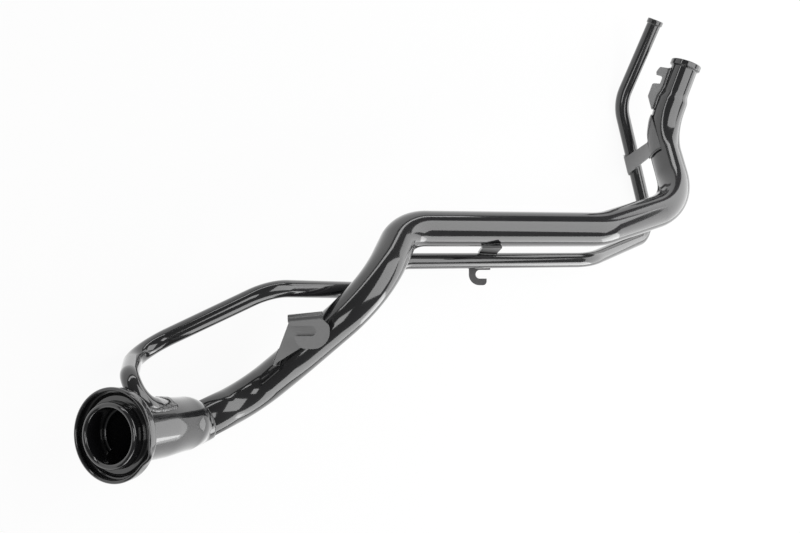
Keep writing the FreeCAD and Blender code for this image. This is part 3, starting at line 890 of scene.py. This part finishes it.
@dataclass
class CapSeat:
    """The cap seat: sleeve, curled lip and two cap cams. Sizes are in millimetres."""

    finish: bpy.types.Material
    bore: float = 22.3
    wall: float = 1.1
    depth: float = 21.0
    curl: float = 1.9
    skirt_end: float = 7.0
    cam_radius: float = 19.4
    cam_thickness: float = 1.2
    cam_rise: float = 2.6
    cam_entry: float = 44.0
    cam_edge: float = 0.3
    cam_steps: int = 48
    steps: int = 192

    def cam(self, half: float) -> bpy.types.Object:
        """Return one ramped cam, which starts at an angle in degrees."""
        start = math.radians(half + self.cam_entry)
        end = math.radians(half + 180.0)
        outer = self.bore + self.wall
        eased = self.cam_radius + self.cam_edge
        section = [(self.cam_radius, self.cam_edge), (eased, 0.0), (outer, 0.0), (outer, 1.0), (eased, 1.0),
                   (self.cam_radius, 1.0 - self.cam_edge)]

        def ramp(angle: float, radius: float, height: float) -> Pair:
            """Raise the cam's back face along the ramp."""
            share = (angle - start) / (end - start)
            thick = self.cam_thickness + self.cam_rise * share
            return radius, (self.depth + height * thick) * MM

        scaled = [(radius * MM, height) for radius, height in section]
        return lathe("cam", scaled, self.cam_steps, neck_matrix(), ramp, (start, end))

    def build(self) -> bpy.types.Object:
        """Build the seat with both cams."""
        inner = self.bore + self.wall / 2.0
        outer = inner + 2.0 * self.curl
        top = self.wall / 2.0
        line = rounded([(inner, self.depth - top), (inner, top), (outer, top), (outer, self.skirt_end)],
                       [self.curl - ARC_GAP, self.curl - ARC_GAP])
        section = [(radius * MM, height * MM) for radius, height in thick_line(line, self.wall)]
        sleeve = lathe("sleeve", section, self.steps, neck_matrix())
        piece = join("cap_seat_skin", [sleeve, self.cam(0.0), self.cam(180.0)])
        piece.data.materials.append(self.finish)
        return piece


@dataclass
class SheetPart:
    """A folded sheet piece: the frame's own shape, with its edges eased. Sizes are in millimetres."""

    node: str
    finish: bpy.types.Material
    easing: float = 0.35
    easing_steps: int = 3
    easing_angle: float = 40.0
    flat_angle: float = 0.5
    merge_gap: float = 0.002

    def build(self) -> bpy.types.Object:
        """Build the eased copy of the node's mesh."""
        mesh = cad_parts[self.node].data.copy()
        build = bmesh.new()
        build.from_mesh(mesh)
        bmesh.ops.remove_doubles(build, verts=build.verts, dist=self.merge_gap * MM)
        bmesh.ops.recalc_face_normals(build, faces=build.faces)
        bmesh.ops.dissolve_limit(
            build, angle_limit=math.radians(self.flat_angle), verts=build.verts, edges=build.edges)
        build.to_mesh(mesh)
        build.free()
        mesh.materials.clear()
        mesh.materials.append(self.finish)
        mesh.polygons.foreach_set("use_smooth", [True] * len(mesh.polygons))
        piece = link(self.node + "_skin", mesh)
        ease = piece.modifiers.new("easing", "BEVEL")
        ease.width = self.easing * MM
        ease.segments = self.easing_steps
        ease.limit_method = "ANGLE"
        ease.angle_limit = math.radians(self.easing_angle)
        ease.use_clamp_overlap = True
        ease.harden_normals = False
        weigh = piece.modifiers.new("normals", "WEIGHTED_NORMAL")
        weigh.keep_sharp = False
        return plain_mesh(piece)


@dataclass
class WeldLump:
    """A short weld with an uneven skin, grown from a node's own shape. Sizes are in millimetres.

    A weld of the strap names the tube that it lies on, and stays under the strap's top."""

    node: str
    finish: bpy.types.Material
    tube: Optional[FillerTube] = None
    height: float = 1.7
    voxel: float = 0.45
    swell: float = 0.25
    unevenness: float = 0.55
    lump_size: float = 2.4
    softening: float = 0.6
    soften_steps: int = 5

    def settle(self, mesh: bpy.types.Mesh) -> None:
        """Press the weld down so that it stays below the top of the strap that it holds.

        Args:
            mesh: The weld's mesh, beside a tube."""
        points = np.array([tuple(point) for point in self.tube.path.stations()])
        runs = np.diff(points, axis=0)
        ceiling = (self.tube.radius + self.height) * MM
        for vertex in mesh.vertices:
            place = np.array(vertex.co)
            shares = ((place - points[:-1]) * runs).sum(axis=1) / (runs * runs).sum(axis=1)
            feet = points[:-1] + runs * np.clip(shares, 0.0, 1.0)[:, None]
            away = place - feet
            spans = np.linalg.norm(away, axis=1)
            near = int(spans.argmin())
            if spans[near] > ceiling:
                vertex.co = Vector(feet[near] + away[near] * (ceiling / spans[near]))

    def build(self) -> bpy.types.Object:
        """Build the lumpy weld."""
        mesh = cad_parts[self.node].data.copy()
        mesh.materials.clear()
        mesh.materials.append(self.finish)
        piece = link(self.node + "_skin", mesh)
        blend = piece.modifiers.new("voxels", "REMESH")
        blend.mode = "VOXEL"
        blend.voxel_size = self.voxel * MM
        blend.use_smooth_shade = True
        soften = piece.modifiers.new("soften", "SMOOTH")
        soften.factor = self.softening
        soften.iterations = self.soften_steps
        lumps = bpy.data.textures.new(self.node + "_lumps", "CLOUDS")
        lumps.noise_scale = self.lump_size * MM
        push = piece.modifiers.new("lumps", "DISPLACE")
        push.texture = lumps
        push.texture_coords = "LOCAL"
        push.strength = self.unevenness * MM
        push.mid_level = 0.5 - self.swell
        plain_mesh(piece)
        if self.tube:
            self.settle(piece.data)
        return piece


@dataclass
class WeldBead:
    """A rippled weld bead along a closed ring. Sizes are in millimetres."""

    name: str
    finish: bpy.types.Material
    centre: Vector
    axis: Vector
    ring_radius: float
    radius: float = 0.9
    pitch: float = 1.5
    depth: float = 0.28
    stray: float = 0.5
    seed: float = 1.0
    points: int = 180

    def build(self) -> bpy.types.Object:
        """Build the bead."""
        place = neck_matrix(self.axis, self.centre)
        ring = []
        for index in range(self.points):
            turn = 2.0 * math.pi * index / self.points
            local = Vector((math.cos(turn), math.sin(turn), 0.0)) * self.ring_radius * MM
            ring.append(place @ local)
        piece = path_mesh(self.name, ring, closed=True)
        values = {"Radius": self.radius * MM, "Pitch": self.pitch * MM, "Depth": self.depth * MM,
                  "Stray": self.stray * MM, "Seed": self.seed, "Material": self.finish}
        return GeometryTrees.apply(piece, GeometryTrees.rippled_bead(), values)


@dataclass(frozen=True)
class Lamp:
    """A soft rectangular lamp: its place and target, its width and height in metres, and its watts."""

    name: str
    place: Vector
    target: Vector
    size: Pair
    power: float

    def build(self) -> None:
        """Add the lamp to the scene, unseen by the camera."""
        data = bpy.data.lights.new(self.name, "AREA")
        data.shape = "RECTANGLE"
        data.size, data.size_y = self.size
        data.energy = self.power
        lamp = bpy.data.objects.new(self.name, data)
        lamp.location = self.place
        lamp.rotation_euler = (self.target - self.place).to_track_quat("-Z", "Y").to_euler()
        lamp.visible_camera = False
        bpy.context.scene.collection.objects.link(lamp)


LAMPS = (
    Lamp("high", Vector((0.80, 0.15, 0.78)), Vector((0.66, 0.0, 0.0)), (0.95, 0.95), 8.0),
    Lamp("low", Vector((0.30, -0.95, 0.42)), Vector((0.30, 0.0, 0.10)), (1.8, 0.75), 13.0),
    Lamp("side", Vector((1.40, -0.45, 0.36)), Vector((0.38, -0.02, 0.0)), (2.6, 0.80), 14.0),
    Lamp("front", Vector((-0.29, 0.20, 0.61)), Vector((0.19, 0.0, 0.0)), (0.32, 0.32), 1.0),
    Lamp("back", Vector((0.45, 1.05, 0.20)), Vector((0.38, -0.02, 0.0)), (1.9, 0.15), 3.0),
)


@dataclass
class Studio:
    """The pale floor, the soft lamps and the camera at the photograph's angle."""

    camera_place: Vector = vector(-217.2, 303.0, 847.8)
    camera_ahead: Vector = Vector((0.5072, -0.2797, -0.8152))
    camera_up: Vector = Vector((0.4006, 0.914, -0.0643))
    lens: float = 50.0
    sensor: float = 36.0
    floor_half: float = 6.0
    floor_gap: float = 0.0002
    floor_shade: float = 0.72
    floor_glow: float = 0.93
    world_shade: float = 0.15

    def camera(self) -> None:
        """Place the camera."""
        data = bpy.data.cameras.new("view")
        data.lens = self.lens
        data.sensor_width = self.sensor
        data.clip_start = 0.01
        data.clip_end = 50.0
        view = bpy.data.objects.new("view", data)
        ahead = self.camera_ahead.normalized()
        across = ahead.cross(self.camera_up).normalized()
        up = across.cross(ahead)
        turned = Matrix((across, up, -ahead)).transposed().to_4x4()
        view.matrix_world = Matrix.Translation(self.camera_place) @ turned
        bpy.context.scene.collection.objects.link(view)
        bpy.context.scene.camera = view

    def backdrop_material(self) -> bpy.types.Material:
        """Return the floor's material: white to the camera, and shaded where the neck's shadow falls."""
        made = bpy.data.materials.new("pale_floor")
        made.use_nodes = True
        tree = made.node_tree
        shader = tree.nodes["Principled BSDF"]
        shade = self.floor_shade
        shader.inputs["Base Color"].default_value = (shade, shade, shade, 1.0)
        shader.inputs["Roughness"].default_value = 0.9
        shader.inputs["Specular IOR Level"].default_value = 0.1
        glow = tree.nodes.new("ShaderNodeEmission")
        glow.inputs["Color"].default_value = (1.0, 1.0, 1.0, 1.0)
        mix = tree.nodes.new("ShaderNodeMixShader")
        tree.links.new(self.seen_rays(tree, self.floor_glow), mix.inputs[0])
        tree.links.new(shader.outputs[0], mix.inputs[1])
        tree.links.new(glow.outputs[0], mix.inputs[2])
        tree.links.new(mix.outputs[0], tree.nodes["Material Output"].inputs["Surface"])
        return made

    @staticmethod
    def seen_rays(tree: bpy.types.NodeTree, share: float) -> bpy.types.NodeSocket:
        """Add the mask of rays that show the background: from the camera, a reflection or through glass.

        Args:
            tree: The node tree to add to.
            share: The mask's value on those rays.

        Returns:
            The mask's socket."""
        rays = tree.nodes.new("ShaderNodeLightPath")
        mask = rays.outputs["Is Camera Ray"]
        for kind in ("Is Glossy Ray", "Is Transmission Ray"):
            most = tree.nodes.new("ShaderNodeMath")
            most.operation = "MAXIMUM"
            tree.links.new(mask, most.inputs[0])
            tree.links.new(rays.outputs[kind], most.inputs[1])
            mask = most.outputs[0]
        scaled = tree.nodes.new("ShaderNodeMath")
        scaled.operation = "MULTIPLY"
        scaled.inputs[1].default_value = share
        tree.links.new(mask, scaled.inputs[0])
        return scaled.outputs[0]

    def floor(self) -> None:
        """Lay the floor at the lowest point of the neck."""
        low = cad_box[0].z - self.floor_gap
        half = self.floor_half
        mesh = bpy.data.meshes.new("floor")
        corners = [(-half, -half, low), (half, -half, low), (half, half, low), (-half, half, low)]
        mesh.from_pydata(corners, [], [(0, 1, 2, 3)])
        mesh.materials.append(self.backdrop_material())
        link("floor", mesh)

    def world(self) -> None:
        """Light the surroundings evenly, with a white background that only the camera sees."""
        world = bpy.data.worlds.new("surround")
        bpy.context.scene.world = world
        world.use_nodes = True
        tree = world.node_tree
        tree.nodes.clear()
        leave = tree.nodes.new("ShaderNodeOutputWorld")
        soft = tree.nodes.new("ShaderNodeBackground")
        soft.inputs["Color"].default_value = (1.0, 1.0, 1.0, 1.0)
        soft.inputs["Strength"].default_value = self.world_shade
        white = tree.nodes.new("ShaderNodeBackground")
        white.inputs["Color"].default_value = (1.0, 1.0, 1.0, 1.0)
        white.inputs["Strength"].default_value = 1.0
        mix = tree.nodes.new("ShaderNodeMixShader")
        rays = tree.nodes.new("ShaderNodeLightPath")
        tree.links.new(rays.outputs["Is Camera Ray"], mix.inputs[0])
        tree.links.new(soft.outputs[0], mix.inputs[1])
        tree.links.new(white.outputs[0], mix.inputs[2])
        tree.links.new(mix.outputs[0], leave.inputs["Surface"])

    def build(self) -> None:
        """Build the whole studio."""
        self.camera()
        self.floor()
        self.world()
        for lamp in LAMPS:
            lamp.build()


def main() -> None:
    """Build every piece of the neck and the studio, in order."""
    logging.basicConfig(level=logging.INFO, format="%(name)s: %(message)s")
    scene = bpy.context.scene
    scene.view_settings.view_transform = "Standard"
    gloss = GLOSS_BLACK.material()
    satin = SATIN_BLACK.material()
    mouth = MOUTH_BLACK.material()
    weld = WELD_BLACK.material()

    tube = FillerTube(gloss)
    vent = VentTube(gloss)
    cup = FillerCup(gloss, tube)
    dish = DripDish(gloss)
    finish_piece(tube.build(), Slot.TUBE, "filler_tube")
    finish_piece(vent.build(), Slot.TUBE, "vent_tube")
    finish_piece(cup.build(), Slot.TUBE, "filler_cup")
    finish_piece(dish.build(), Slot.TUBE, "drip_dish")
    finish_piece(CapSeat(mouth).build(), Slot.SEAT, "cap_seat")
    for node in ("front_bracket", "middle_bracket", "end_bracket", "vent_strap"):
        finish_piece(SheetPart(node, satin).build(), Slot.BRACKET, node)

    run = (tube.route[1] - tube.route[0]).normalized()
    seam_place = tube.route[0] + run * (cup.collar_length + SEAM_STEP) * MM
    seam = WeldBead("weld_cup_tube_skin", weld, seam_place, run, tube.radius + BEAD_RISE, radius=0.75,
                    depth=0.18, stray=0.3, seed=3.0)
    finish_piece(seam.build(), Slot.WELD, "weld_cup_tube")
    dish_place = AIM.neck * (dish.floor + dish.wall / 2.0 + DISH_STEP) * MM
    ring = WeldBead("weld_dish_cup_skin", weld, dish_place, AIM.neck, cup.radius + BEAD_RISE, seed=5.0)
    finish_piece(ring.build(), Slot.WELD, "weld_dish_cup")
    for node in ("weld_vent_cup", "weld_front_bracket", "weld_middle_tube", "weld_middle_vent",
                 "weld_end_bracket"):
        finish_piece(WeldLump(node, weld).build(), Slot.WELD, node)
    for node, held in (("weld_strap_tube", tube), ("weld_strap_vent", vent)):
        finish_piece(WeldLump(node, weld, held).build(), Slot.WELD, node)
    Studio().build()


if __name__ == "__main__":
    main()
